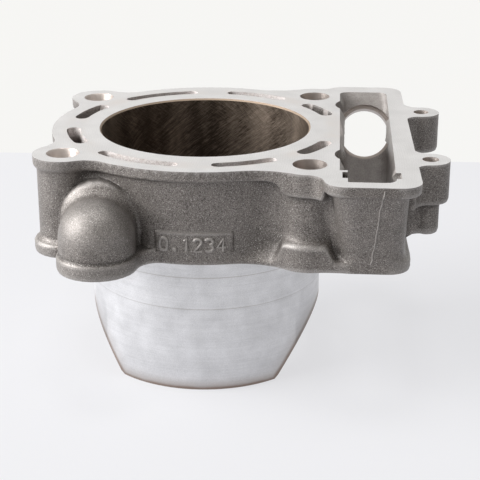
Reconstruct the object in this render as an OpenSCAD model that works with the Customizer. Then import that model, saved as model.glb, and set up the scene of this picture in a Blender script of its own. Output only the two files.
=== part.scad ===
// Liquid-cooled engine cylinder: one aluminium casting with its plated bore, deck face, coolant
// jacket, timing chain tunnel and spigot. The origin is on the bore axis in the deck face, +Z is up
// along the bore, +X points to the chain tunnel and -Y to the exhaust side. Millimetres.

/* [Bore and heights] */
// Diameter of the plated bore
bore_d = 78; // [74:0.5:79]
// Chamfer at the top of the bore
bore_chamfer = 0.6; // [0.3:0.1:1]
// Height from the base gasket face up to the deck face
block_h = 35.5; // [34:0.5:40]
// Length of the spigot below the base gasket face
spigot_len = 53.5; // [48:0.5:60]

/* [Deck lip] */
// Radius of the deck lip round the barrel
deck_r = 57.2; // [56.5:0.1:58.5]
// Height of the deck lip
lip_h = 4; // [3:0.25:5]
// Height of the taller heads over the tunnel-side studs
head_h = 8.6; // [7:0.2:10]
// Rounding of the lower edge of the lip
lip_edge = 0.8; // [0.4:0.1:1.2]

/* [Barrel wall] */
// Outer radius of the cast wall just under the lip
wall_top_r = 55; // [54.6:0.1:55.8]
// Outer radius of the cast wall at the base
wall_base_r = 53; // [52.8:0.1:54]
// Fillet radius where the wall meets the lip and the pads
root_r = 1.4; // [0.8:0.1:2]

/* [Studs] */
// Distance of the outer stud pair from the bore axis along X
stud_left_x = 46.8; // [46:0.1:48]
// Half spacing of the outer stud pair along Y
stud_left_y = 38.3; // [37.5:0.1:39.5]
// Distance of the tunnel-side stud pair from the bore axis along X
stud_right_x = 40.3; // [39.5:0.1:41]
// Half spacing of the tunnel-side stud pair along Y
stud_right_y = 45.6; // [45:0.1:46.5]
// Diameter of the stud holes
stud_hole_d = 10.8; // [10:0.1:11.2]
// Diameter of the dowel counterbores on the tunnel side
dowel_d = 12; // [11.6:0.1:12.6]
// Depth of the dowel counterbores
dowel_depth = 8; // [5:0.5:10]
// Radius of the deck lip round an outer stud
lobe_left_r = 10.8; // [10.4:0.1:11.4]
// Radius of the deck lip and of the head round a tunnel-side stud
lobe_right_r = 12.1; // [11.8:0.1:12.6]
// Radius of the cast column round a stud
column_r = 9.5; // [9:0.1:10]
// Radius of the base pad round an outer stud
pad_left_r = 11.6; // [11:0.1:12]
// Radius of the base pad round a tunnel-side stud
pad_right_r = 12.1; // [11.6:0.1:12.5]
// Height of the base pads at the outer studs
pad_left_h = 4.4; // [3.6:0.2:6]
// Height of the base pads at the tunnel-side studs
pad_right_h = 9.6; // [8:0.2:11]

/* [Coolant jacket and deck slots] */
// Inner radius of the coolant jacket
jacket_in_r = 44.4; // [43.6:0.1:45]
// Outer radius of the coolant jacket
jacket_out_r = 50.2; // [49.5:0.1:50.6]
// Thickness of the deck over the jacket
deck_t = 7; // [6:0.5:9]
// Thickness of the floor under the jacket
jacket_floor = 6; // [5:0.5:8]
// Distance from the edge of the deck lip to the middle line of the slots
slot_inset = 8.1; // [7.8:0.1:8.6]
// Width of the short deck slots
slot_short_w = 5.2; // [4.6:0.1:5.4]
// Width of the long deck slots
slot_long_w = 4.4; // [4:0.1:5]

/* [Chain tunnel] */
// Nearest X of the tunnel hollow to the bore axis, in the deck face
tunnel_in_x = 50.5; // [50.3:0.1:51.5]
// Width of the tunnel hollow along X, in the deck face
tunnel_w = 18.9; // [16:0.1:19.5]
// Reach of the tunnel hollow to the front at the deck
tunnel_front = 64; // [62:0.5:65]
// Reach of the tunnel hollow to the back at the deck
tunnel_back = 53.3; // [52:0.1:55]
// Lean of the front tunnel wall from the vertical
lean_front = 19; // [16:0.5:20]
// Lean of the back tunnel wall from the vertical
lean_back = 24; // [21:0.5:25]
// Thickness of the tunnel end walls at the deck, lip included
tunnel_end_t = 5.6; // [5:0.1:6.5]
// Thickness of the back tunnel wall at the deck, lip included
tunnel_back_t = 8.3; // [7:0.1:9]
// Thickness of the tunnel side wall at the deck, lip included
tunnel_side_t = 8.4; // [7.8:0.1:9]
// Set-back of the tunnel walls under the lip
tunnel_setback = 2.6; // [2:0.1:3]
// X of the seat for the chain guide, at the front end of the tunnel
guide_x = 53.2; // [52.6:0.1:54]
// Depth of the two pockets that locate the chain guide
guide_pocket = 1.8; // [1:0.1:2.2]

/* [Tensioner bore] */
// Diameter of the tensioner bore through the outer part of the wall
tensioner_d = 19.8; // [18:0.2:21]
// Diameter of the relief round the tensioner bore inside the tunnel
tensioner_relief_d = 22.4; // [21.4:0.2:24]
// Diameter of the tensioner boss
tensioner_boss_d = 31; // [28:0.5:32]
// Depth of the tensioner bore's centre below the deck, on the inner face of the wall
tensioner_drop = 14.8; // [14:0.2:16]

/* [Ear lugs] */
// Distance of both ear holes from the bore axis along X
ear_x = 82; // [81.4:0.1:83.2]
// Reach of the front ear hole along -Y
ear_front_y = 37; // [35:0.5:39]
// Reach of the back ear hole along +Y
ear_back_y = 24.5; // [22:0.5:27]
// Diameter of the ear holes
ear_hole_d = 5.8; // [5:0.1:6.4]
// Radius of the ear lugs
ear_r = 6.9; // [6.3:0.1:7.4]
// Height of the ear lugs
ear_h = 15; // [12:0.5:17]
// Radius of the slimmer lug under the front ear
stem_r = 4.4; // [4:0.1:5]
// Reach of the slimmer lug below the deck
stem_h = 26.5; // [24:0.5:28]

/* [Coolant inlet dome] */
// X of the dome's axis, away from the chain tunnel
dome_x = 32.6; // [31:0.2:33.4]
// Reach of the dome's axis along -Y
dome_y = 56.6; // [55.5:0.1:58]
// Radius of the dome
dome_r = 13.4; // [12.6:0.1:14]
// Depth of the dome's centre below the deck
dome_drop = 24; // [23:0.5:26]
// Radius of the arch where the dome meets the wall
arch_r = 14; // [13.5:0.1:14.6]
// Reach of the arch along -Y
arch_y = 50.4; // [49.5:0.1:51.5]
// Radius of the collar round the foot of the dome
collar_r = 14.4; // [13.8:0.1:15]
// Height of the collar
collar_h = 5.4; // [4:0.2:7]
// Diameter of the coolant inlet in the base face
inlet_d = 17; // [14:0.5:19]

/* [Number plate] */
// Length of the raised plate on the front wall
plate_l = 27; // [22:0.5:28]
// Height of the plate
plate_h = 7.6; // [6:0.2:9]
// Height of the plate's middle above the base face
plate_mid = 8.4; // [7.6:0.2:10]

/* [Spigot] */
// Outer radius of the spigot next to the base
spigot_r = 44.6; // [44.2:0.1:45.6]
// Step in at each of the two turned lines
spigot_step = 0.35; // [0.2:0.05:0.5]
// Depth of the first turned line below the base face
line_1 = 8.3; // [6:0.1:12]
// Depth of the second turned line below the base face
line_2 = 20.7; // [16:0.1:26]
// Half width of each skirt at its lower edge
skirt_half = 28.4; // [26:0.2:31]
// Height of the side cuts above the lower edge, at the outside of the spigot
cut_h = 23.8; // [20:0.2:28]
// Chamfer at the lower outer edge of the skirts
skirt_chamfer = 1; // [0.5:0.1:1.4]
// Lead-in chamfer at the lower end of the bore
lead_in = 1.6; // [0.8:0.1:2]

/* [Hidden] */

cast_grey = "#8d8a85";
turned_grey = "#b9bbbe";
eps = 0.5;              // overrun of every cut past the face that it opens
round_fn = 96;          // any number above 12 stands for a true circle
bore_r = bore_d / 2;
base_z = -block_h;
foot_z = base_z - spigot_len;
floor_z = base_z + jacket_floor;
slot_mid_r = deck_r - slot_inset;

// Chain tunnel: [outer, inner] corner radii at the deck lip, at the wall's top and foot and at the
// base face, and how far the two end walls lean in at a depth
lip_corners = [7, 7];
wall_corners = [6, 8.5];
foot_corners = [7, 9];
pad_corners = [8, 8];
back_narrow = 2.4;      // the back outer corner stands this much nearer to the bore
side_setback = 3.9;     // set-back of the outer side wall under the lip
side_flare = 2;         // how far the base face stands out past that wall
tunnel_out_x = tunnel_in_x + tunnel_w + tunnel_side_t;
tunnel_left_x = tunnel_in_x - 5.2;
tunnel_wall_x = tunnel_out_x - side_setback;
lip_front_y = -(tunnel_front + tunnel_end_t);
lip_back_y = tunnel_back + tunnel_back_t;
wall_front_y = lip_front_y + tunnel_setback;
wall_back_y = lip_back_y - tunnel_setback;
function in_front(depth) = depth * tan(lean_front);
function in_back(depth) = depth * tan(lean_back);

// The outline of the casting is a closed chain of rounds, taken counterclockwise. Each round is
// [x, y, radius, hollow]: hollow is the radius of the concave arc that leads to the next round,
// where 0 stands for a straight side.
arc_steps = [8, 8, 8, 12, 14, 12, 10, 12, 14, 12, 8];
hollow_steps = 10;

function xy(a) = [a[0], a[1]];
function heading(v) = atan2(v[1], v[0]);
function hollow_mid(a, b) =
    let (v = xy(b) - xy(a), d = norm(v), u = v / d, p = a[2] + a[3], q = b[2] + a[3],
         t = (d * d + p * p - q * q) / (2 * d), h = sqrt(max(0, p * p - t * t)))
    xy(a) + u * t + [u[1], -u[0]] * h;
function side_normal(a, b) =
    let (v = xy(b) - xy(a)) heading(v) - acos((a[2] - b[2]) / norm(v));
function leave(a, b) = a[3] > 0 ? heading(hollow_mid(a, b) - xy(a)) : side_normal(a, b);
function arrive(a, b) = a[3] > 0 ? heading(hollow_mid(a, b) - xy(b)) : side_normal(a, b);
function turn(from, to) = let (t = (to - from) % 360) t > 180 ? t - 360 : t < -180 ? t + 360 : t;
function sweep(from, to) = let (t = ((to - from) % 360 + 360) % 360) t > 340 ? t - 360 : t;
function ease(t) = t * t * (3 - 2 * t);
function round_points(before, a, after, steps) =
    let (s = arrive(before, a), w = sweep(s, leave(a, after)))
    [for (i = [0 : steps]) xy(a) + a[2] * [cos(s + w * i / steps), sin(s + w * i / steps)]];
function hollow_points(a, b) = a[3] == 0 ? [] :
    let (m = hollow_mid(a, b), s = heading(xy(a) - m), w = turn(s, heading(xy(b) - m)))
    [for (i = [1 : hollow_steps - 1]) let (t = s + w * i / hollow_steps)
        m + a[3] * [cos(t), sin(t)]];
function outline(chain) = let (n = len(chain))
    [for (i = [0 : n - 1])
        each concat(round_points(chain[(i + n - 1) % n], chain[i], chain[(i + 1) % n], arc_steps[i]),
                    hollow_points(chain[i], chain[(i + 1) % n]))];
function grown(chain, by) = [for (a = chain) [a[0], a[1], a[2] + by, a[3] == 0 ? 0 : a[3] - by]];

// Chains of the lip, of the wall at its top and foot, and of the base pads. The order is front
// outer corner, back outer corner, back inner corner, back tunnel-side stud, barrel, back outer
// stud, barrel, front outer stud, barrel, front tunnel-side stud, front inner corner.
function chain(tunnel, barrel, right, left, hollows) =
    let (front = hollows[0], back = hollows[1], h_right = hollows[2], h_left = hollows[3]) [
    concat(tunnel[0], [0]), concat(tunnel[1], [0]), concat(tunnel[2], [back]),
    [stud_right_x, stud_right_y, right, h_right],
    [0, 0, barrel, h_left],
    [-stud_left_x, stud_left_y, left, h_left],
    [0, 0, barrel, h_left],
    [-stud_left_x, -stud_left_y, left, h_left],
    [0, 0, barrel, h_right],
    [stud_right_x, -stud_right_y, right, front],
    concat(tunnel[3], [0])];

// Corner rounds of the tunnel from the faces that they touch: inner, outer, front and back
function corners(inner, outer, front, back, rs) = let (r = rs[0], q = rs[1]) [
    [outer - r, front + r, r], [outer - back_narrow - r, back - r, r],
    [inner + q, back - q, q], [inner + q, front + q, q]];

wall_drop = block_h - pad_right_h;
foot_inset = 1.8;       // the tunnel's inner corners stand off the studs by this at the foot
side_draft = 0.4;
// Hollows of each chain: tunnel at the front, tunnel at the back, tunnel-side studs, outer studs
lip_hollows = [6, 6, 26, 10];
wall_hollows = [3, 3, 12, 9];
foot_hollows = [4, 4, 12, 9];
pad_hollows = [40, 2, 24, 10];
lip_chain = chain(corners(tunnel_left_x, tunnel_out_x, lip_front_y, lip_back_y, lip_corners),
                  deck_r, lobe_right_r, lobe_left_r, lip_hollows);
wall_top_chain = chain(
    corners(tunnel_left_x + tunnel_setback, tunnel_wall_x, wall_front_y, wall_back_y, wall_corners),
    wall_top_r, column_r, column_r, wall_hollows);
wall_foot_chain = chain(
    corners(tunnel_left_x + tunnel_setback + foot_inset, tunnel_wall_x - side_draft,
            wall_front_y + in_front(wall_drop), wall_back_y - in_back(wall_drop), foot_corners),
    wall_base_r, column_r, column_r, foot_hollows);
pad_chain = chain(
    corners(tunnel_left_x + foot_inset, tunnel_wall_x + side_flare,
            lip_front_y + in_front(block_h), lip_back_y - in_back(block_h), pad_corners),
    wall_base_r, pad_right_r, pad_left_r, pad_hollows);

// Nearness of a point to a pair of studs: 1 within r + band[0] of one of them, 0 past r + band[1]
function near(p, x, y, r, band) =
    let (d = min(norm(xy(p) - [x, y]), norm(xy(p) - [x, -y])) - r - band[0])
    ease(1 - min(1, max(0, d / (band[1] - band[0]))));

// Heights at a point of the outline: the lip's lower edge, the upper edge of the base pads, and
// how far the wall's foot rises above that edge. The foot is a hollow fillet at the studs and on
// the tunnel, and a long flare on the barrel.
head_band = [0.3, 2.5];
head_tunnel_band = [2.8, 5.4];
pad_band = [0.1, 1.7];
pad_tunnel_band = [0.6, 2.8];
tunnel_reach = 5;
tunnel_edge = 4;
barrel_edge = 1.5;
stud_fillet = 2.6;
tunnel_fillet = 3.6;
barrel_fillet = 9;
function at_left(p) = near(p, -stud_left_x, stud_left_y, pad_left_r, pad_band);
function at_right(p) = near(p, stud_right_x, stud_right_y, pad_right_r,
                            p[0] > stud_right_x ? pad_tunnel_band : pad_band);
function on_tunnel(p) = ease(min(1, max(0, (p[0] - stud_right_x) / tunnel_reach)));
function lip_z(p) = -lip_h - (head_h - lip_h) * near(p, stud_right_x, stud_right_y, lobe_right_r,
    p[0] > stud_right_x ? head_tunnel_band : head_band);
function plain(p, tunnel, barrel) = barrel + (tunnel - barrel) * on_tunnel(p);
function pad_z(p) = let (low = plain(p, tunnel_edge, barrel_edge))
    base_z + low + (pad_left_h - low) * at_left(p) + (pad_right_h - low) * at_right(p);
function fillet_h(p) = let (h = plain(p, tunnel_fillet, barrel_fillet))
    h + (stud_fillet - h) * max(at_left(p), at_right(p));

// Rings of the outer skin, from the deck face down to the base face
wall_gap = 0.2;
pad_edge = 0.5;
lip_line = outline(lip_chain);
top_line = outline(wall_top_chain);
foot_line = outline(wall_foot_chain);
pad_line = outline(pad_chain);
function flat(line, z) = [for (p = line) [p[0], p[1], z]];
function blend(a, b, t) = [for (i = [0 : len(a) - 1]) a[i] * (1 - t) + b[i] * t];
lip_foot = [for (p = lip_line) lip_z(p)];
function at_heights(line, heights, up) = [for (i = [0 : len(line) - 1])
    [line[i][0], line[i][1], heights[i] + up]];
function lip_ring(a) = at_heights(outline(grown(lip_chain, lip_edge * (cos(a) - 1))), lip_foot,
                                  lip_edge * (1 - sin(a)));
function root_ring(a) = at_heights(outline(grown(wall_top_chain, root_r * (1 - sin(a)) / 2)),
                                   lip_foot, -root_r * (1 - cos(a)) - wall_gap);
function wall_ring(t) = let (line = blend(top_line, foot_line, t))
    [for (i = [0 : len(line) - 1]) [line[i][0], line[i][1],
        (lip_foot[i] - root_r) * (1 - t)
            + (pad_z(pad_line[i]) + fillet_h(pad_line[i])) * t]];
function pad_ring(a) = [for (i = [0 : len(pad_line) - 1])
    let (p = pad_line[i], k = max(at_left(p), at_right(p), on_tunnel(p)),
         q = foot_line[i] + (p - foot_line[i]) * (k * (1 - cos(a)) + (1 - k) * pow(a / 90, 2)))
    [q[0], q[1], pad_z(p) + fillet_h(p) * (1 - k * sin(a) - (1 - k) * a / 90)]];
rings = concat(
    [flat(lip_line, 0)],
    [for (a = [0, 30, 60, 85]) lip_ring(a)],
    [for (a = [0, 30, 60, 90]) root_ring(a)],
    [for (t = [0.25, 0.5, 0.75]) wall_ring(t)],
    [for (a = [0, 20, 40, 60, 80]) pad_ring(a)],
    [[for (p = pad_line) [p[0], p[1], pad_z(p) - pad_edge]]],
    [flat(pad_line, base_z + lip_edge)],
    [flat(outline(grown(pad_chain, -lip_edge / 2)), base_z)]);

// Closed solid through a stack of rings that run from the top down. Each end is closed by
// triangles round hubs, points of the end face that see their part of the ring. With two pairs
// of hubs, the second pair takes the ring's points from part[0] to part[1].
module loft(stack, hubs, part = [0, 0]) {
    n = len(stack[0]);
    m = len(stack);
    top = m * n;
    end = top + len(hubs);
    foot = (m - 1) * n;
    function hub(i) = i >= part[0] && i < part[1] ? 1 : 0;
    polyhedron(
        points = concat([for (r = stack) each r], [for (h = hubs) h[0]], [for (h = hubs) h[1]]),
        faces = concat(
            [for (i = [0 : n - 1]) [top + hub(i), (i + 1) % n, i]],
            [for (i = [0 : n - 1]) [end + hub(i), foot + i, foot + (i + 1) % n]],
            len(hubs) < 2 ? [] : [
                [top, top + 1, part[0]], [top + 1, top, part[1]],
                [end + 1, end, foot + part[0]], [end, end + 1, foot + part[1]]],
            [for (k = [0 : m - 2]) for (i = [0 : n - 1]) let (j = (i + 1) % n)
                each [[k * n + i, k * n + j, (k + 1) * n + j],
                      [k * n + i, (k + 1) * n + j, (k + 1) * n + i]]]),
        convexity = 8);
}

// The barrel's part of the ring begins after the tunnel's back inner corner and ends at the
// front inner one
barrel_from = arc_steps[0] + arc_steps[1] + arc_steps[2] + 3 + hollow_steps;
barrel_to = len(lip_line) - arc_steps[10] - 1 - hollow_steps;

module block_skin() {
    lip_hub = tunnel_in_x + tunnel_w;
    base_hub = tunnel_in_x + tunnel_w / 2;
    color(cast_grey) loft(rings,
        [[[lip_hub, 0, 0], [base_hub, 0, base_z]], [[0, 0, 0], [0, 0, base_z]]],
        [barrel_from, barrel_to]);
}

// Turned spigot with two stepped lines and a chamfered lower edge, as one revolved profile
module spigot_body() {
    overlap = 2;
    line_w = 0.2;
    chamfer_h = 1.8 * skirt_chamfer;
    r1 = spigot_r;
    r2 = spigot_r - spigot_step;
    r3 = spigot_r - 2 * spigot_step;
    color(turned_grey) rotate_extrude($fn = round_fn) polygon([
        [bore_r - overlap, base_z + overlap], [r1, base_z + overlap],
        [r1, base_z - line_1], [r2, base_z - line_1 - line_w],
        [r2, base_z - line_2], [r3, base_z - line_2 - line_w],
        [r3, foot_z + chamfer_h], [r3 - skirt_chamfer, foot_z], [bore_r - overlap, foot_z]]);
}

// Ear: a round lug with hollow flanks that run into the tunnel wall, and a soft lower edge
module ear(x, y, r, root_x, top, end) {
    flank = 5;
    tip = 0.5;
    edge = 1;
    root_depth = 6;
    lug_steps = 12;
    function line(by) =
        let (lug = [x, y, r - by, flank + by],
             low = [root_x, y - r - flank, tip, flank + by],
             high = [root_x, y + r + flank, tip, flank + by])
        concat([[root_x - root_depth, y + r + flank], [root_x - root_depth, y - r - flank]],
               hollow_points(low, lug), round_points(low, lug, high, lug_steps),
               hollow_points(lug, high));
    hub = [x - r / 2, y];
    loft([flat(line(0), -top), flat(line(0), edge - end), flat(line(edge * 0.3), edge * 0.3 - end),
          flat(line(edge), -end)],
         [[[hub[0], hub[1], -top], [hub[0], hub[1], -end]]]);
}

module ear_lugs() {
    front_root = tunnel_out_x - 1.6;
    back_root = tunnel_out_x - back_narrow;
    stem_x = ear_x - 0.6;
    overlap = 2;
    color(cast_grey) {
        ear(ear_x, -ear_front_y, ear_r, front_root, 0, ear_h);
        ear(ear_x, ear_back_y, ear_r, back_root, 0, ear_h);
        ear(stem_x, -ear_front_y, stem_r, tunnel_wall_x - overlap / 2, ear_h - overlap, stem_h);
    }
}

// Coolant inlet: a domed chamber on the base face. A dished face joins the dome to an arched step
// on the wall, and a collar with hollow flanks stands round its foot.
module inlet_dome() {
    side_steps = 12;
    arch_up = 3.4;          // the arch's centre stands this much above the dome's
    arch_edge = 0.7;
    arch_back = 12;
    dish = 5;
    overlap = 1;
    tuck = 0.05;            // keeps the dished face just inside the dome where the two meet
    // Section of the chamber at a distance f in front of the arch: w is 1 on the arch and 0 on
    // the dome
    function half_width(f) = sqrt(dome_r * dome_r - pow(dome_y - arch_y - f, 2)) - tuck;
    function section(f, w, by) =
        let (r = w * (arch_r - by) + (1 - w) * half_width(max(0, f)))
        concat([for (i = [0 : side_steps]) let (a = 180 * i / side_steps)
                   [-dome_x + r * cos(a), -arch_y - f, w * arch_up - dome_drop + r * sin(a)]],
               [[-dome_x - r, -arch_y - f, base_z + overlap],
                [-dome_x + r, -arch_y - f, base_z + overlap]]);
    // Outline of the collar, from the outer stud's pad round to the barrel and back inside it
    collar_hollow = 7;
    pad_hollow = 2;
    collar_steps = 16;
    inside_r = wall_base_r - 5;
    inside_half = 14;
    dome_a = 180 + atan2(dome_y, dome_x);
    inside = [for (a = [dome_a + inside_half, dome_a - inside_half]) inside_r * [cos(a), sin(a)]];
    pad = [-stud_left_x, -stud_left_y, pad_left_r, pad_hollow];
    function foot(by) = let (collar = [-dome_x, -dome_y, collar_r + by, collar_hollow - by],
                             barrel = [0, 0, wall_base_r + by, 0])
        concat(hollow_points(pad, collar), round_points(pad, collar, barrel, collar_steps),
               hollow_points(collar, barrel), inside);
    hub = [-dome_x, -dome_y + collar_r / 2];
    collar_top = base_z + collar_h;
    collar_edge = 0.7;
    color(cast_grey) {
        loft(concat([for (t = [1, 0.7, 0.45, 0.2, 0]) section(dish * t, pow(1 - t, 2), arch_edge)],
                    [section(-arch_edge, 1, 0), section(-arch_back, 1, 0)]),
             [[[-dome_x, -arch_y - dish, -dome_drop], [-dome_x, arch_back - arch_y, -dome_drop]]]);
        translate([-dome_x, -dome_y, -dome_drop]) intersection() {
            sphere(dome_r, $fn = round_fn);
            cylinder(h = 2 * dome_r, r = 2 * dome_r, $fn = round_fn);
        }
        translate([-dome_x, -dome_y, base_z + overlap])
            cylinder(h = block_h - dome_drop - overlap, r = dome_r, $fn = round_fn);
        loft([flat(foot(-collar_edge), collar_top),
              flat(foot(-0.3 * collar_edge), collar_top - 0.3 * collar_edge),
              flat(foot(0), collar_top - collar_edge), flat(foot(0), base_z + lip_edge),
              flat(foot(-lip_edge / 2), base_z)],
             [[[hub[0], hub[1], collar_top], [hub[0], hub[1], base_z]]]);
    }
}

// Places its children with +Z along the tensioner bore, at its centre on the inner tunnel wall
module at_tensioner() {
    translate([tunnel_in_x + tunnel_w / 2 + tensioner_off, tunnel_back - in_back(tensioner_drop),
               -tensioner_drop])
        rotate([-90 - lean_back, 0, 0]) children();
}
tensioner_off = 1;      // the bore stands this far off the middle of the tunnel
boss_out = 4.2;
tensioner_len = (tunnel_back_t - tunnel_setback) * cos(lean_back) + boss_out;

module tensioner_boss() {
    root = 2;
    color(cast_grey) at_tensioner() translate([0, 0, root])
        cylinder(h = tensioner_len - root, d = tensioner_boss_d, $fn = round_fn);
}

// Raised plate for a casting number. Its face follows the wall.
module number_plate() {
    raised = 0.8;
    plate_x = 0.8;
    face = wall_base_r + raised;
    back = jacket_out_r + 1;
    reach = plate_l / 2 + plate_x;
    root_y = sqrt(back * back - reach * reach);
    low = base_z + plate_mid - plate_h / 2;
    color(cast_grey) intersection() {
        translate([plate_x - plate_l / 2, -face, low]) cube([plate_l, face - root_y, plate_h]);
        translate([0, 0, low - 1]) cylinder(h = plate_h + 2, r = face, $fn = round_fn);
    }
}

module bore_cut() {
    translate([0, 0, foot_z - eps]) cylinder(h = eps - foot_z + eps, r = bore_r, $fn = round_fn);
    translate([0, 0, -bore_chamfer])
        cylinder(h = bore_chamfer + eps, r1 = bore_r, r2 = bore_r + bore_chamfer + eps,
                 $fn = round_fn);
    translate([0, 0, foot_z - eps])
        cylinder(h = 2 * lead_in + eps, r1 = bore_r + lead_in + eps / 2, r2 = bore_r,
                 $fn = round_fn);
}

module stud_cuts() {
    chamfer = 0.5;
    for (s = [-1, 1]) {
        translate([-stud_left_x, s * stud_left_y, 0]) {
            translate([0, 0, base_z - eps])
                cylinder(h = block_h + 2 * eps, d = stud_hole_d, $fn = round_fn);
            translate([0, 0, -chamfer]) cylinder(h = chamfer + eps, d1 = stud_hole_d,
                d2 = stud_hole_d + 2 * (chamfer + eps), $fn = round_fn);
        }
        translate([stud_right_x, s * stud_right_y, 0]) {
            translate([0, 0, base_z - eps])
                cylinder(h = block_h + 2 * eps, d = stud_hole_d, $fn = round_fn);
            translate([0, 0, -dowel_depth])
                cylinder(h = dowel_depth + eps, d = dowel_d, $fn = round_fn);
            translate([0, 0, base_z - eps])
                cylinder(h = dowel_depth + eps, d = dowel_d, $fn = round_fn);
        }
    }
}

// One deck slot: a ring sector with round ends, between two angles
module deck_slot(from, to, w) {
    tip = w / 2;
    tip_a = tip / slot_mid_r * 180 / PI;
    a = from + tip_a;
    b = to - tip_a;
    arc = 8;
    cap = 5;
    end_a = [cos(a), sin(a)] * slot_mid_r;
    end_b = [cos(b), sin(b)] * slot_mid_r;
    translate([0, 0, -deck_t - 1]) linear_extrude(deck_t + 1 + eps) polygon(concat(
        [for (i = [0 : arc]) let (t = a + (b - a) * i / arc)
            [cos(t), sin(t)] * (slot_mid_r + tip)],
        [for (i = [1 : cap - 1]) let (t = b + 180 * i / cap) end_b + [cos(t), sin(t)] * tip],
        [for (i = [0 : arc]) let (t = b + (a - b) * i / arc)
            [cos(t), sin(t)] * (slot_mid_r - tip)],
        [for (i = [1 : cap - 1]) let (t = a + 180 + 180 * i / cap)
            end_a + [cos(t), sin(t)] * tip]));
}

// Angles of the slots on each half, from the chain tunnel round: [from, to, width]
back_slots = [[20.5, 42.5, slot_short_w], [55, 84.8, slot_long_w], [99, 134.8, slot_long_w],
              [148, 173, slot_short_w]];
front_slots = [[20.5, 42.5, slot_short_w], [54.5, 82.4, slot_long_w], [95.8, 133.8, slot_long_w],
               [148, 173, slot_short_w]];

module coolant_cuts() {
    soft = 1.5;
    rotate_extrude($fn = round_fn) polygon([
        [jacket_in_r, floor_z + soft], [jacket_in_r + soft, floor_z],
        [jacket_out_r - soft, floor_z], [jacket_out_r, floor_z + soft],
        [jacket_out_r, -deck_t - soft], [jacket_out_r - soft, -deck_t],
        [jacket_in_r + soft, -deck_t], [jacket_in_r, -deck_t - soft]]);
    for (s = back_slots) deck_slot(s[0], s[1], s[2]);
    for (s = front_slots) mirror([0, 1, 0]) deck_slot(s[0], s[1], s[2]);
    // The inlet rises from the base face and turns in through the wall to the jacket
    passage_r = inlet_d / 2 - soft;
    reach = norm([dome_x, dome_y]) - (jacket_in_r + jacket_out_r) / 2;
    passage_z = base_z + jacket_floor + passage_r;
    translate([-dome_x, -dome_y, base_z - eps])
        cylinder(h = jacket_floor + passage_r + eps, d = inlet_d, $fn = round_fn);
    translate([-dome_x, -dome_y, passage_z]) rotate([0, 90, atan2(dome_y, dome_x)])
        cylinder(h = reach, r = passage_r, $fn = round_fn);
}

// Tunnel hollow: its end walls lean in towards the base, as the two runs of the chain do. Just
// below the deck the barrel's wall slopes out into the tunnel and the outer wall slopes back.
module tunnel_hollow() {
    x0 = tunnel_in_x;
    x1 = tunnel_in_x + tunnel_w;
    r = 3.6;
    steps = 5;
    step_in = 1.7;
    step_out = 1.2;
    slope_z = 2.5;
    over = eps / slope_z;
    guide_y = 51.3;         // the seat of the guide runs from here to the front end
    pocket_l = 6.4;
    tongue = 1.9;           // width of the tongue between the seat's end and its pocket
    pocket_h = 15;
    relief_r = 9.4;
    relief_y = 33.2;
    function corner(x, y, from, z) = [for (i = [0 : steps]) let (a = from + 90 * i / steps)
        [x + r * cos(a), y + r * sin(a), z]];
    function ring(left, right, z) =
        let (front = in_front(-z) - tunnel_front, back = tunnel_back - in_back(-z))
        concat(corner(right - r, front + r, 270, z), corner(right - r, back - r, 0, z),
               corner(left + r, back - r, 90, z), corner(left + r, front + r, 180, z));
    difference() {
        loft([ring(x0 - step_in * over, x1 - step_out * over, eps),
              ring(x0 + step_in, x1 + step_out, -slope_z),
              ring(x0 + step_in, x1 + step_out, base_z - eps)],
             [[[x1 - 2 * r, 0, eps], [x1 - 2 * r, 0, base_z - eps]]]);
        translate([x0 - 1, -tunnel_front - 1, base_z - 1])
            cube([guide_x - x0 + 1, tunnel_front - guide_y + 1, block_h + 2]);
    }
    // Two pockets for the ears of the chain guide
    for (x = [guide_x - guide_pocket, x1 - eps])
        translate([x, -guide_y - tongue - pocket_l, -pocket_h])
            cube([guide_pocket + eps, pocket_l, pocket_h + eps]);
    // Two shallow reliefs in the wall next to the barrel
    for (s = [-1, 1]) translate([x0 - guide_pocket + relief_r, s * relief_y, base_z / 2])
        cylinder(h = block_h / 2 + eps, r = relief_r, $fn = round_fn);
}

module tensioner_cut() {
    relief_depth = 3;
    relief_reach = 4;
    at_tensioner() {
        cylinder(h = tensioner_len + eps, d = tensioner_d, $fn = round_fn);
        translate([0, 0, -relief_reach])
            cylinder(h = relief_reach + relief_depth, d = tensioner_relief_d, $fn = round_fn);
    }
}

module ear_cuts() {
    for (y = [-ear_front_y, ear_back_y]) translate([ear_x, y, -ear_h - eps])
        cylinder(h = ear_h + 2 * eps, d = ear_hole_d, $fn = round_fn);
}

// Wedges that take the two sides of the spigot away and leave a skirt at the front and the back
module side_cuts() {
    past_spigot = 8;
    reach = spigot_r + past_spigot;
    slope = (spigot_r - skirt_half) / cut_h;
    for (s = [-1, 1]) rotate([90, 0, 0]) translate([0, 0, -reach]) linear_extrude(2 * reach)
        polygon([[s * (skirt_half - slope * eps), foot_z - eps], [s * reach, foot_z - eps],
                 [s * reach, foot_z + cut_h + (reach - spigot_r) / slope]]);
}

module cylinder_casting() {
    difference() {
        union() {
            block_skin();
            spigot_body();
            ear_lugs();
            inlet_dome();
            tensioner_boss();
            number_plate();
        }
        bore_cut();
        stud_cuts();
        coolant_cuts();
        tunnel_hollow();
        tensioner_cut();
        ear_cuts();
        side_cuts();
    }
}

cylinder_casting();
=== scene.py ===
# The looks of a liquid-cooled engine cylinder: one aluminium casting, blasted outside, milled on
# the deck and the base face, turned on the spigot, and plated and honed in the bore.
import math

import bmesh
import bpy
import numpy as np
from mathutils import Matrix, Vector


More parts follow.
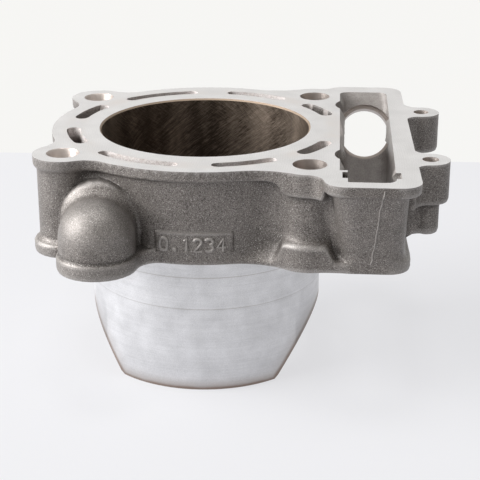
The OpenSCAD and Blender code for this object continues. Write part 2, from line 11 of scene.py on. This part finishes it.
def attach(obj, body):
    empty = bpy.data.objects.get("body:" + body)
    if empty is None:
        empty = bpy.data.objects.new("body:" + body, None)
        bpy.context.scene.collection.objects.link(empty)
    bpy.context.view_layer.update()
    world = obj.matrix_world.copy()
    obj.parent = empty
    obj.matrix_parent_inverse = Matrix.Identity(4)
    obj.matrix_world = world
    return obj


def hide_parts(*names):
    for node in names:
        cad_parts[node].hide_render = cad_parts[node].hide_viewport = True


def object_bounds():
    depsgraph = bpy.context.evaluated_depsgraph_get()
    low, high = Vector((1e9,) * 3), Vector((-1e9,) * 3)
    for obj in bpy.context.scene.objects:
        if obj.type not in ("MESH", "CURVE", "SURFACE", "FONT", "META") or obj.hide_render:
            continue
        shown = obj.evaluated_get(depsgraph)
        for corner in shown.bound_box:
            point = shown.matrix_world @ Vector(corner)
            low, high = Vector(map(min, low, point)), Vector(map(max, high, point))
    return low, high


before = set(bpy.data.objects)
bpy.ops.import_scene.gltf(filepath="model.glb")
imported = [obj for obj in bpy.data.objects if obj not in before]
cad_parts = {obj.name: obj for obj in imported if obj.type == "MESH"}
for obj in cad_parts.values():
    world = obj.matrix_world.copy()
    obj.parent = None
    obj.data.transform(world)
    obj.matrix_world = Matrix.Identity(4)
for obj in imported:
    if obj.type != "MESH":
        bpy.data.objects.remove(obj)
cad_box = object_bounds()

# ---- Camera ----
# The photograph looks down at the front side from a little to the right, from half a metre away
# with a long lens, and the whole cylinder stands in the picture.
camera_drop = 20.851
camera_turn = 4
camera_data = bpy.data.cameras.new("camera")
camera_data.lens = 101.25
camera_data.sensor_width = 36
camera_data.clip_start = 0.01
camera = bpy.data.objects.new("camera", camera_data)
camera.location = (0.0472, -0.4879, 0.1405)
camera.rotation_euler = (math.radians(90 - camera_drop), 0, math.radians(camera_turn))
bpy.context.scene.collection.objects.link(camera)
bpy.context.scene.camera = camera
bpy.context.scene.view_settings.view_transform = "Standard"

# ---- Machined places of the casting ----
# One aluminium part is cast with all its walls, columns, ears, dome and chain tunnel, and then
# milled, bored, drilled, turned and honed. Each face of the part is sorted by the cut that made it.
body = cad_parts["cylinder_casting"].copy()
body.data = body.data.copy()
body.name = body.data.name = "casting"
body.parent = None
body.matrix_world = Matrix.Identity(4)
bpy.context.scene.collection.objects.link(body)
body.data.materials.clear()

metal = bmesh.new()
metal.from_mesh(body.data)
bmesh.ops.remove_doubles(metal, verts=metal.verts, dist=1e-6)
bmesh.ops.dissolve_degenerate(metal, edges=metal.edges, dist=1e-7)

AS_CAST, CORED, MILLED, HONED, DRILLED, TURNED, SAWN = range(7)

# Where the cuts are, in millimetres. Most radii are limits, a little wider than the cut itself.
base_face = -35.5
bore_radius = 39.0
chamfer_radius, chamfer_foot, lower_chamfer = 41.2, -0.8, -80
stud_axes = [(-46.8, 38.3), (-46.8, -38.3), (40.3, 45.6), (40.3, -45.6)]
stud_hole_radius = 6.15
ear_axes = [(82.0, -37.0), (82.0, 24.5)]
ear_hole_radius = 3.0
tensioner_seat = Vector((60.95, 52.375, -17.322))
tensioner_axis = Vector((0, 0.913545, -0.406737))
tensioner_radius, tensioner_reach = 11.4, 14
spigot_radius = 45
jacket_radius, jacket_floor = 51.5, -33
tunnel_middle = (60.0, -4.0)
tunnel_left, tunnel_right, tunnel_half = 44, 73, 66


def cut_of(face):
    """Which cut of the machine shop, if any, made a face of the casting."""
    middle = face.calc_center_median() * 1000
    normal = face.normal
    radius = math.hypot(middle.x, middle.y)
    away = (normal.x * middle.x + normal.y * middle.y) / max(radius, 1e-6)
    if middle.z > -0.02 and normal.z > 0.9:
        return MILLED
    if abs(middle.z - base_face) < 0.02 and normal.z < -0.9:
        return MILLED
    if radius < bore_radius + 0.2 and away < -0.9 and abs(normal.z) < 0.02:
        return HONED
    at_bore_end = middle.z > chamfer_foot or middle.z < lower_chamfer
    if radius < chamfer_radius and away < -0.2 and at_bore_end:
        return DRILLED
    if any(math.hypot(middle.x - x, middle.y - y) < stud_hole_radius for x, y in stud_axes):
        return DRILLED
    if any(math.hypot(middle.x - x, middle.y - y) < ear_hole_radius for x, y in ear_axes):
        return DRILLED
    off = middle - tensioner_seat
    aside = (off - tensioner_axis * off.dot(tensioner_axis)).length
    if aside < tensioner_radius and off.length < tensioner_reach:
        return DRILLED
    if middle.z < base_face + 0.1 and radius < spigot_radius:
        return TURNED if away > 0.7 or normal.z < -0.98 else SAWN
    if radius < jacket_radius and middle.z > jacket_floor:
        return CORED
    from_chain = ((middle.x - tunnel_middle[0]) * normal.x
                  + (middle.y - tunnel_middle[1]) * normal.y)
    if (tunnel_left < middle.x < tunnel_right and abs(middle.y) < tunnel_half
            and from_chain < 0 and middle.z > base_face):
        return CORED
    return AS_CAST


for face in metal.faces:
    face.material_index = cut_of(face)

# ---- Cast skin ----
# The skin comes out of an iron mold round sand cores and is blasted with fine grit, so it is warm
# grey and sandy, and every inner corner and outer edge that no cutter touched is soft.
skin_step = 1.6e-3
halvings = 4
for turn in range(halvings):
    long_edges = [edge for edge in metal.edges if edge.calc_length() > skin_step
                  and all(face.material_index <= CORED for face in edge.link_faces)]
    bmesh.ops.subdivide_edges(metal, edges=long_edges, cuts=1)
    bmesh.ops.triangulate(metal, faces=[face for face in metal.faces if len(face.verts) > 3])

# Where slivers crossed each other, the skin is opened and closed again with plain triangles.
crossed = {face for edge in metal.edges if len(edge.link_faces) > 2 for face in edge.link_faces}
bmesh.ops.delete(metal, geom=list(crossed), context="FACES")
gaps = [edge for edge in metal.edges if len(edge.link_faces) == 1]
if gaps:
    patches = bmesh.ops.holes_fill(metal, edges=gaps, sides=0)["faces"]
    bmesh.ops.triangulate(metal, faces=patches)
for face in metal.faces:
    face.smooth = True

metal.verts.ensure_lookup_table()
metal.verts.index_update()
cast_edges = np.array([[v.index for v in edge.verts] for edge in metal.edges
                       if any(face.material_index <= CORED for face in edge.link_faces)])
free = np.array([all(face.material_index <= CORED for face in v.link_faces) for v in metal.verts])
start = np.array([v.co for v in metal.verts])
outward = np.array([v.normal for v in metal.verts])
neighbours = np.bincount(cast_edges.ravel(), minlength=len(start))
plate_middle = (0.0008, -0.0271)
plate_half = (0.0155, 0.0056)
plate_behind = -0.045


def plate_points(margin):
    """The points of the number plate on the front wall, with a margin round it."""
    return ((abs(start[:, 0] - plate_middle[0]) < plate_half[0] + margin)
            & (start[:, 1] < plate_behind)
            & (abs(start[:, 2] - plate_middle[1]) < plate_half[1] + margin))


def pull_of(points):
    """How far it is from each point to the middle of its neighbours on the cast skin."""
    pull = np.zeros_like(points)
    for near, far in ((0, 1), (1, 0)):
        np.add.at(pull, cast_edges[:, near], points[cast_edges[:, far]])
    return pull / np.maximum(neighbours, 1)[:, None] - points


plate = plate_points(0)
plate_limit, out_limit, in_limit = 0.05e-3, 0.5e-3, 0.15e-3
most_out = np.where(plate, plate_limit, out_limit)[:, None]
most_in = np.where(plate, plate_limit, in_limit)[:, None]
soft_rounds, soft_share = 5, 0.5
skin = start.copy()
for turn in range(soft_rounds):
    skin[free] += soft_share * pull_of(skin)[free]
    moved = skin - start
    lift = np.sum(moved * outward, axis=1)[:, None]
    skin = start + moved + outward * (np.clip(lift, -most_in, most_out) - lift)
skin = np.clip(skin, *np.array(cad_box))
for v in metal.verts:
    v.co = skin[v.index]

# How hollow or edged the skin is at each point, seen over about 4 mm. The material paints shade
# into the hollows, with a little grit, and a highlight onto the edges. The number plate, its upper
# edge and the low raised pieces on the casting get fixed values instead: no painted shade on the
# plate, and a painted highlight on its upper edge and on the raised pieces.
spread_rounds, spread_share = 16, 0.6
plate_margin = 0.001
plate_hollow, plate_edge_hollow, raised_hollow = -0.15, -0.9, -1.1
spread = skin.copy()
reached = neighbours > 0
for turn in range(spread_rounds):
    spread[reached] += spread_share * pull_of(spread)[reached]
hollow = np.sum((spread - skin) * outward, axis=1) * 1000
# The number plate is kept free of painted shade, and its upper edge gets a painted highlight.
hollow[plate_points(plate_margin)] = plate_hollow
hollow[plate & (outward[:, 2] > 0.3)] = plate_edge_hollow
hollow_layer = metal.verts.layers.float.new("hollow")
for v in metal.verts:
    v[hollow_layer] = float(hollow[v.index])


class Wire:
    """A value inside a material: sums written with it become Math nodes."""

    def __init__(self, tree, socket):
        self.tree = tree
        self.socket = socket

    def sum_of(self, kind, *parts):
        node = self.tree.nodes.new("ShaderNodeMath")
        node.operation = kind
        for place, part in enumerate(parts):
            if isinstance(part, Wire):
                self.tree.links.new(part.socket, node.inputs[place])
            else:
                node.inputs[place].default_value = part
        return Wire(self.tree, node.outputs[0])

    def __add__(self, other): return self.sum_of("ADD", self, other)
    def __radd__(self, other): return self.sum_of("ADD", other, self)
    def __sub__(self, other): return self.sum_of("SUBTRACT", self, other)
    def __rsub__(self, other): return self.sum_of("SUBTRACT", other, self)
    def __mul__(self, other): return self.sum_of("MULTIPLY", self, other)
    def __rmul__(self, other): return self.sum_of("MULTIPLY", other, self)
    def __pow__(self, other): return self.sum_of("POWER", self, other)
    def __neg__(self): return self.sum_of("MULTIPLY", self, -1.0)
    def __abs__(self): return self.sum_of("ABSOLUTE", self)
    def lowest(self, other): return self.sum_of("MINIMUM", self, other)
    def highest(self, other): return self.sum_of("MAXIMUM", self, other)
    def root(self): return self.sum_of("SQRT", self)
    def sine(self): return self.sum_of("SINE", self)
    def angle_from(self, other): return self.sum_of("ARCTAN2", self, other)
    def held(self): return self.highest(0.0).lowest(1.0)

    def step(self, start, end):
        """0 before start, 1 past end and smooth between them."""
        node = self.tree.nodes.new("ShaderNodeMapRange")
        node.interpolation_type = "SMOOTHSTEP"
        self.tree.links.new(self.socket, node.inputs["Value"])
        node.inputs["From Min"].default_value = start
        node.inputs["From Max"].default_value = end
        return Wire(self.tree, node.outputs[0])


def prepared_node(tree, kind, settings=None, **sockets):
    """A node of a tree: its kind, its settings, then what its sockets are given."""
    node = tree.nodes.new(kind)
    for name, value in (settings or {}).items():
        setattr(node, name, value)
    for name, value in sockets.items():
        socket = node.inputs[int(name[1:])] if name[0] == "_" else node.inputs[name]
        value = value.socket if isinstance(value, Wire) else value
        if isinstance(value, bpy.types.NodeSocket):
            tree.links.new(value, socket)
        else:
            socket.default_value = value
    return node


class Finish:
    """A surface finish: a material whose patterns are read in the object's own millimetres."""

    def __init__(self, name, metallic, specular=0.5):
        self.material = bpy.data.materials.new(name)
        self.material.use_nodes = True
        self.tree = self.material.node_tree
        self.shader = self.tree.nodes["Principled BSDF"]
        self.shader.inputs["Metallic"].default_value = metallic
        self.shader.inputs["Specular IOR Level"].default_value = specular
        metres = self.node("ShaderNodeTexCoord").outputs["Object"]
        self.place = self.node("ShaderNodeVectorMath", {"operation": "SCALE"},
                               Vector=metres, Scale=1000.0).outputs[0]
        axes = self.node("ShaderNodeSeparateXYZ", {}, Vector=self.place).outputs
        self.x, self.y, self.z = (Wire(self.tree, axes[i]) for i in range(3))

    def node(self, kind, settings=None, **sockets):
        """Any other node of this material."""
        return prepared_node(self.tree, kind, settings, **sockets)

    def grain(self, size, detail=2.0, rough=0.5, vector=None):
        """Noise around 0.5 whose lumps are about size millimetres across."""
        return Wire(self.tree, self.node("ShaderNodeTexNoise", {}, Vector=vector or self.place,
                                         Scale=1 / size, Detail=detail, Roughness=rough).outputs[0])

    def blend(self, share, first, second):
        """The mix of two colours, by a share from 0 to 1."""
        node = self.node("ShaderNodeMix", {"data_type": "RGBA"}, _0=share)
        for place, colour in ((6, first), (7, second)):
            if isinstance(colour, bpy.types.NodeSocket):
                self.tree.links.new(colour, node.inputs[place])
            else:
                node.inputs[place].default_value = (*colour, 1)
        return node.outputs[2]

    def show(self, colour, roughness, height, depth):
        """Joins colour, roughness and a height map, whose depth is in millimetres."""
        self.tree.links.new(colour, self.shader.inputs["Base Color"])
        self.tree.links.new(roughness.socket, self.shader.inputs["Roughness"])
        bump = self.node("ShaderNodeBump", {}, Height=height, Strength=1.0, Distance=depth / 1000)
        self.tree.links.new(bump.outputs[0], self.shader.inputs["Normal"])
        body.data.materials.append(self.material)


blasted = Finish("blasted_cast_aluminium", 0.40)
cloud = blasted.grain(16, 2)
patch = blasted.grain(3.2, 3)
sand = blasted.grain(0.4, 3, 0.7)
fleck = blasted.grain(0.3, 1)
hollows = Wire(blasted.tree, blasted.node("ShaderNodeAttribute",
                                          {"attribute_name": "hollow"}).outputs["Fac"])
tone = (0.5 + (cloud - 0.5) * 0.6 + (patch - 0.5) * 0.4 + (sand - 0.5) * 3.7).held()
grey = blasted.blend(tone, (0.069, 0.059, 0.053), (0.268, 0.243, 0.225))
# Painted shade darkens the hollows, with a little grit, and a painted highlight lightens the edges,
# the plate's upper edge and the raised pieces.
grey = blasted.blend((hollows * 1.6).held() * 0.74, grey, (0.045, 0.038, 0.034))
grey = blasted.blend((-hollows * 1.3 - 0.12).held() * 0.36, grey, (0.52, 0.495, 0.475))
glint = ((fleck - 0.60) * 9.0).held()
grey = blasted.blend(glint * 0.7, grey, (0.60, 0.575, 0.55))
blasted.show(grey, 0.41 + (sand - 0.5) * 0.4 + (patch - 0.5) * 0.12,
             sand * 0.7 + fleck * 0.3 + patch * 0.5, 0.15)

# The sand cores of the chain tunnel and the coolant jacket leave a paler, smoother skin. In the
# jacket, coolant has stained it brown, and below the slots it is painted dark brown, partly as
# coolant stain and partly as painted shade in the slots.
jacket_wall = 51.6
stain_and_shade_depth = 1.5
cored = Finish("sand_cored_aluminium", 0.12)
patch = cored.grain(4, 3)
sand = cored.grain(0.5, 3, 0.6)
tone = (0.5 + (patch - 0.5) * 0.9 + (sand - 0.5) * 1.4).held()
pale = cored.blend(tone, (0.24, 0.215, 0.20), (0.46, 0.43, 0.41))
wet = ((cored.x ** 2.0 + cored.y ** 2.0).root() - jacket_wall).step(0.5, -0.5)
# Below the slots the jacket is painted dark brown: coolant stain, and painted shade in the slots.
stain_and_shade_below = (cored.z + stain_and_shade_depth).step(0.0, -5.0)
speck = ((sand - 0.5) * 3.0 + 0.5).held()
skin_tone = cored.blend(speck, (0.60, 0.545, 0.52), (0.92, 0.875, 0.855))
pale = cored.blend(wet, pale, cored.blend(stain_and_shade_below, skin_tone, (0.16, 0.125, 0.105)))
pale = cored.blend(wet * ((patch - 0.52) * 5.0).held() * 0.45, pale, (0.42, 0.31, 0.25))
cored.show(pale, 0.42 + (sand - 0.5) * 0.4, sand * 0.7 + patch * 0.5, 0.12)

# ---- Milled faces ----
# The deck, the tops of the ears and the base face are milled flat after casting. The deck keeps
# the faint arcs of the face cutter and a little brown staining along the slots.
cutter_left, cutter_front = 150.0, 40.0
slot_radius = 49.1
milled = Finish("milled_face", 0.2, 0.3)
cutter_reach = ((milled.x + cutter_left) ** 2.0 + (milled.y + cutter_front) ** 2.0).root()
arc = (cutter_reach * 7.5).sine()
fine = milled.grain(0.35, 2, 0.6)
wear = milled.grain(9, 3)
ring = abs((milled.x ** 2.0 + milled.y ** 2.0).root() - slot_radius).step(5.5, 1.5)
tone = (0.55 + arc * 0.05 + (fine - 0.5) * 1.5 + (wear - 0.5) * 0.8).held()
plain = milled.blend(tone, (0.51, 0.498, 0.49), (0.74, 0.725, 0.715))
stained = milled.blend(ring * (wear - 0.35).held() * 0.8, plain, (0.50, 0.42, 0.36))
milled.show(stained, 0.55 + (fine - 0.5) * 0.25 + (wear - 0.5) * 0.2, arc * 0.2 + fine, 0.02)

# ---- Bore ----
# The bore is plated with nickel and silicon carbide, then honed: a dark brown-grey wall with
# two crossing sets of fine scratches.
honed = Finish("honed_bore_plating", 0.8)
around = honed.y.angle_from(honed.x) * bore_radius
hone_rise = 1.35
strokes = []
for hand in (1.0, -1.0):
    across = (around + honed.z * hone_rise * hand) * 0.6
    along = (honed.z * hone_rise - around * hand) * 0.6
    lay = honed.node("ShaderNodeCombineXYZ", {}, X=across, Y=along * 0.05, Z=hand * 9.0)
    strokes.append(honed.grain(0.13, 4, 0.65, lay.outputs[0]) * 0.75
                   + honed.grain(0.8, 2, 0.5, lay.outputs[0]) * 0.25)
lap = honed.grain(30, 1)
hone = strokes[0] + (strokes[1] - strokes[0]) * (lap.step(0.40, 0.60) * 0.7 + 0.15)
band = honed.grain(13, 2, 0.5, honed.node("ShaderNodeCombineXYZ", {}, X=around,
                                          Y=honed.z * 0.15, Z=4.0).outputs[0])
scratch = ((hone - 0.58) * 7.0).held()
tone = ((hone - 0.5) * 2.6 + (band - 0.5) * 1.4 + 0.24 + scratch * 0.4).held()
plating = honed.blend(tone, (0.052, 0.037, 0.027), (0.50, 0.405, 0.325))
honed.show(plating, 0.40 + (hone - 0.5) * 0.6, hone, 0.03)

# ---- Drilled and bored holes ----
# The stud holes with their dowel counterbores, the tensioner bore, the ear holes and the ground
# chamfer of the bore are cut into clean metal, and the chamfer is brown from coolant and oil.
brown_radius = 42.0
drilled = Finish("drilled_metal", 0.7)
turn_mark = (drilled.z * 21.0).sine()
dull = drilled.grain(2.5, 3)
rim = ((drilled.x ** 2.0 + drilled.y ** 2.0).root() - brown_radius).step(0.5, -0.5)
tone = (0.5 + turn_mark * 0.08 + (dull - 0.5) * 0.9).held()
warm = drilled.blend(tone, (0.38, 0.325, 0.295), (0.57, 0.515, 0.48))
warm = drilled.blend(rim * 0.85, warm, (0.30, 0.225, 0.16))
drilled.show(warm, 0.40 + rim * 0.22 + (dull - 0.5) * 0.3, turn_mark * 0.4 + dull, 0.03)

# ---- Spigot ----
# The lower end of the cylinder is turned to two small steps that guide it into the crankcase. Its
# skirts keep the satin of the lathe, with brown stains at the lower edges.
spigot_height = 89.0
stain_height = 64.0
side_cut_half = 28.4
side_cut_lean = (23.8, 16.2)
step_levels = (base_face - 8.4, base_face - 20.8)
turned = Finish("turned_spigot", 0.78)
lathe = (turned.z * 14.0).sine()
band = turned.grain(1.6, 3, 0.5, turned.node("ShaderNodeCombineXYZ", {}, X=turned.z).outputs[0])
satin = turned.grain(0.3, 2, 0.6)
scuff = turned.grain(0.7, 3, 0.6, turned.node(
    "ShaderNodeCombineXYZ", {}, X=turned.x * 0.05, Y=turned.y * 0.05, Z=turned.z).outputs[0])
smear = turned.grain(7, 3)
foot = (-spigot_height - turned.z).step(-5.0, 0.5)
tone = (0.5 + lathe * 0.05 + (band - 0.5) * 0.6 + (satin - 0.5) * 1.4 + (smear - 0.5) * 1.1
        + (scuff - 0.5) * 0.4).held()
plain = turned.blend(tone, (0.56, 0.56, 0.572), (0.81, 0.81, 0.83))
stained = turned.blend((foot * (smear + 0.15)).held() * 0.8, plain, (0.34, 0.27, 0.22))
slope = Vector(side_cut_lean).normalized()
above_foot = turned.z + spigot_height
side_edge = (side_cut_half - abs(turned.x)) * slope.x + above_foot * slope.y
rim = (side_edge.step(2.0, 0.3).highest(above_foot.step(2.2, 0.4)) * 0.7
       + side_edge.step(6.0, 0.0).highest(above_foot.step(7.0, 0.0)) * 0.3)
rim = rim * (turned.z + stain_height).step(2.0, -3.0)
stained = turned.blend((rim * (smear + 0.6)).held() * 0.85, stained, (0.23, 0.165, 0.13))
line_marks = [(turned.z - level).step(-0.35, -0.1) * (turned.z - level).step(0.35, 0.1)
              for level in step_levels]
stained = turned.blend((line_marks[0] + line_marks[1]).held() * 0.35, stained, (0.30, 0.27, 0.25))
turned.show(stained, 0.38 + (satin - 0.5) * 0.2 + foot * 0.1, lathe * 0.5 + satin * 0.6, 0.02)

# The side cuts that leave the two skirts are sawn, duller and browner than the turned metal.
cut = Finish("cut_skirt_face", 0.5)
wear = cut.grain(4, 3)
fine = cut.grain(0.4, 2)
tone = (0.5 + (wear - 0.5) * 1.2 + (fine - 0.5) * 0.5).held()
cut.show(cut.blend(tone, (0.22, 0.17, 0.14), (0.42, 0.35, 0.30)), 0.5 + (fine - 0.5) * 0.3,
         fine, 0.04)

# Two faces are shaded as one up to an angle: wide on the cast skin, and narrow where a cut ends.
cast_angle, cut_angle, end_angle = 80, 48, 12
for edge in metal.edges:
    if len(edge.link_faces) == 2:
        first, second = (face.material_index for face in edge.link_faces)
        if max(first, second) <= CORED:
            widest = cast_angle
        else:
            widest = cut_angle if first == second else end_angle
        edge.smooth = edge.calc_face_angle(0) < math.radians(widest)
metal.to_mesh(body.data)
metal.free()
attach(body, "root")
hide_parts("cylinder_casting")

# ---- Flash line ----
# Where the two halves of the mold meet, a thin wavy line of metal runs down the front wall of the
# chain tunnel. It is part of the casting and only fettled flat.
flash_tree = bpy.data.node_groups.new("flash_line", "GeometryNodeTree")
for name, kind in (("Casting", "Object"), ("Top", "Vector"), ("Foot", "Vector"), ("Width", "Float"),
                   ("Waver", "Float")):
    flash_tree.interface.new_socket(name, in_out="INPUT", socket_type="NodeSocket" + kind)
flash_tree.interface.new_socket("Line", in_out="OUTPUT", socket_type="NodeSocketGeometry")


def end_in_bead(tree, curve, radius):
    """Ends a geometry tree with a round bead of the cast metal along its curve."""
    section = prepared_node(tree, "GeometryNodeCurvePrimitiveCircle", {},
                            Resolution=8, Radius=radius)
    bead = prepared_node(tree, "GeometryNodeCurveToMesh", {}, Curve=curve,
                         **{"Profile Curve": section.outputs[0], "Fill Caps": True})
    real = prepared_node(tree, "GeometryNodeRealizeInstances", {}, Geometry=bead.outputs[0])
    skinned = prepared_node(tree, "GeometryNodeSetMaterial", {}, Geometry=real.outputs[0],
                            Material=blasted.material)
    tree.links.new(skinned.outputs[0], tree.nodes.new("NodeGroupOutput").inputs[0])


def run_tree(tree, name, **sizes):
    """The plain mesh that a geometry tree makes from its named sizes, with a fixed value that
    paints a highlight on it.
    """
    maker = bpy.data.objects.new(name, bpy.data.meshes.new(name))
    bpy.context.scene.collection.objects.link(maker)
    modifier = maker.modifiers.new(name, "NODES")
    modifier.node_group = tree
    for item in tree.interface.items_tree:
        if item.in_out == "INPUT" and item.name in sizes:
            modifier[item.identifier] = sizes[item.name]
    bpy.context.view_layer.update()
    seen = maker.evaluated_get(bpy.context.evaluated_depsgraph_get())
    made = bpy.data.meshes.new_from_object(seen)
    maker.modifiers.remove(modifier)
    maker.data = made
    made.name = name
    # Every raised piece gets a painted highlight through this value.
    values = made.attributes.new("hollow", "FLOAT", "POINT")
    values.data.foreach_set("value", [raised_hollow] * len(made.vertices))
    return maker


given = flash_tree.nodes.new("NodeGroupInput").outputs
drop = prepared_node(flash_tree, "GeometryNodeCurvePrimitiveLine", {}, Start=given["Top"],
                     End=given["Foot"])
dense = prepared_node(flash_tree, "GeometryNodeResampleCurve", {}, Curve=drop.outputs[0],
                      Count=90)
casting_here = prepared_node(flash_tree, "GeometryNodeObjectInfo", {}, Object=given["Casting"])
ahead = prepared_node(flash_tree, "GeometryNodeRaycast", {}, _0=casting_here.outputs["Geometry"],
                      **{"Ray Direction": (0, 1, 0), "Ray Length": 0.2})
wave = prepared_node(flash_tree, "ShaderNodeTexNoise", {}, Scale=260.0, Detail=2.0)
sway = prepared_node(flash_tree, "ShaderNodeMath", {"operation": "SUBTRACT"},
                     _0=wave.outputs[0], _1=0.5)
sway = prepared_node(flash_tree, "ShaderNodeMath", {"operation": "MULTIPLY"},
                     _0=sway.outputs[0], _1=given["Waver"])
aside = prepared_node(flash_tree, "ShaderNodeCombineXYZ", {}, X=sway.outputs[0])
laid = prepared_node(flash_tree, "GeometryNodeSetPosition", {}, Geometry=dense.outputs[0],
                     Selection=ahead.outputs["Is Hit"], Position=ahead.outputs["Hit Position"],
                     Offset=aside.outputs[0])
end_in_bead(flash_tree, laid.outputs[0], given["Width"])
flash = run_tree(flash_tree, "flash_line", Casting=body, Top=(0.0652, -0.1, -0.0010),
                 Foot=(0.0620, -0.1, -0.0318), Width=0.00028, Waver=0.0014)
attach(flash, "root")

# ---- Number on the plate ----
# The plate on the front wall carries a row of raised plain digits, cut into the mold with a
# round tool, so each stroke stands up as a low rounded bead.
digit_strokes = {
    "0": [[(0, 1), (0, 3), (0.4, 3.8), (1.2, 4), (2, 3.8), (2.4, 3), (2.4, 1), (2, 0.2), (1.2, 0),
           (0.4, 0.2), (0, 1)]],
    ".": [[(0.9, 0.1), (1.5, 0.1), (1.5, 0.6), (0.9, 0.6), (0.9, 0.1)]],
    "1": [[(0.5, 3.2), (1.3, 4), (1.3, 0)]],
    "2": [[(0, 3.1), (0.4, 3.8), (1.2, 4), (2, 3.8), (2.4, 3.1), (2.2, 2.4), (0, 0), (2.4, 0)]],
    "3": [[(0, 3.5), (0.6, 4), (1.6, 4), (2.3, 3.4), (2.1, 2.5), (1.2, 2.1)],
          [(1.2, 2.1), (2.2, 1.7), (2.4, 0.9), (1.7, 0.1), (0.7, 0), (0, 0.5)]],
    "4": [[(1.8, 0), (1.8, 4), (0, 1.3), (2.5, 1.3)]],
}
number = "0.1234"
pitch = 3.55
first_digit = -9.9
digit_foot = -29.9
digit_scale = 1.14
plate_face = 53.8
number_points, number_edges = [], []
for place, digit in enumerate(number):
    for stroke in digit_strokes[digit]:
        for step, (across, up) in enumerate(stroke):
            angle = (first_digit + place * pitch + across) * digit_scale / plate_face
            number_points.append((plate_face * math.sin(angle) / 1000,
                                  -plate_face * math.cos(angle) / 1000,
                                  (digit_foot + up * digit_scale) / 1000))
            if step:
                number_edges.append((len(number_points) - 2, len(number_points) - 1))

number_tree = bpy.data.node_groups.new("raised_number", "GeometryNodeTree")
number_tree.interface.new_socket("Strokes", in_out="INPUT", socket_type="NodeSocketObject")
number_tree.interface.new_socket("Height", in_out="INPUT", socket_type="NodeSocketFloat")
number_tree.interface.new_socket("Number", in_out="OUTPUT", socket_type="NodeSocketGeometry")
given = number_tree.nodes.new("NodeGroupInput").outputs
lines = prepared_node(number_tree, "GeometryNodeObjectInfo", {}, Object=given["Strokes"])
path = prepared_node(number_tree, "GeometryNodeMeshToCurve", {}, Mesh=lines.outputs["Geometry"])
end_in_bead(number_tree, path.outputs[0], given["Height"])
drawn = bpy.data.meshes.new("strokes")
drawn.from_pydata(number_points, number_edges, [])
pattern = bpy.data.objects.new("strokes", drawn)
bpy.context.scene.collection.objects.link(pattern)
digits = run_tree(number_tree, "raised_number", Strokes=pattern, Height=0.00062)
bpy.data.objects.remove(pattern)
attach(digits, "root")
for piece in (flash, digits):
    for face in piece.data.polygons:
        face.use_smooth = True

# ---- Table and light ----
# The cylinder stands on its skirts on a white table in front of a white wall, under a large soft
# lamp on the left and a smaller one above.


def picture_rays(tree):
    """1 for the rays that carry a picture: straight to the camera, mirrored or refracted."""
    rays = tree.nodes.new("ShaderNodeLightPath").outputs
    kinds = [Wire(tree, rays[kind]) for kind in ("Is Camera Ray", "Is Glossy Ray",
                                                 "Is Transmission Ray")]
    return kinds[0].highest(kinds[1]).highest(kinds[2])


table_half, table_front, table_end = 3.0, -2.0, 0.245
floor_mesh = bpy.data.meshes.new("table")
lowest = cad_box[0][2]
points = [(x, y, lowest) for x in (-table_half, table_half) for y in (table_front, table_end)]
floor_mesh.from_pydata(points, [], [(0, 2, 3, 1)])
table = bpy.data.objects.new("table", floor_mesh)
bpy.context.scene.collection.objects.link(table)
paper = Finish("white_table", 0.0)
paper.shader.inputs["Base Color"].default_value = (0.55, 0.55, 0.565, 1)
paper.shader.inputs["Roughness"].default_value = 0.6
glow = paper.node("ShaderNodeEmission", {}, Color=(0.97, 0.97, 0.995, 1)).outputs[0]
mixed = paper.node("ShaderNodeMixShader", {}, _0=picture_rays(paper.tree) * 0.70,
                   _1=paper.shader.outputs[0], _2=glow)
paper.tree.links.new(mixed.outputs[0], paper.tree.nodes["Material Output"].inputs["Surface"])
floor_mesh.materials.append(paper.material)

world = bpy.data.worlds.new("room")
bpy.context.scene.world = world
world.use_nodes = True
sky = world.node_tree.nodes["Background"]
strength = picture_rays(world.node_tree) * 0.88 + 0.09
world.node_tree.links.new(strength.socket, sky.inputs["Strength"])
sky.inputs["Color"].default_value = (0.955, 0.95, 0.93, 1)

aimed_at = Vector((0.01, 0, -0.04))
for name, place, size, power in (("left_lamp", (-1.60, -0.44, 0.86), 1.4, 67.0),
                                 ("top_lamp", (0.0, -0.20, 1.9), 0.5, 9.0)):
    lamp = bpy.data.lights.new(name, "AREA")
    lamp.size = size
    lamp.energy = power
    lamp_object = bpy.data.objects.new(name, lamp)
    lamp_object.location = place
    aim = aimed_at - Vector(place)
    lamp_object.rotation_euler = aim.to_track_quat("-Z", "Y").to_euler()
    bpy.context.scene.collection.objects.link(lamp_object)
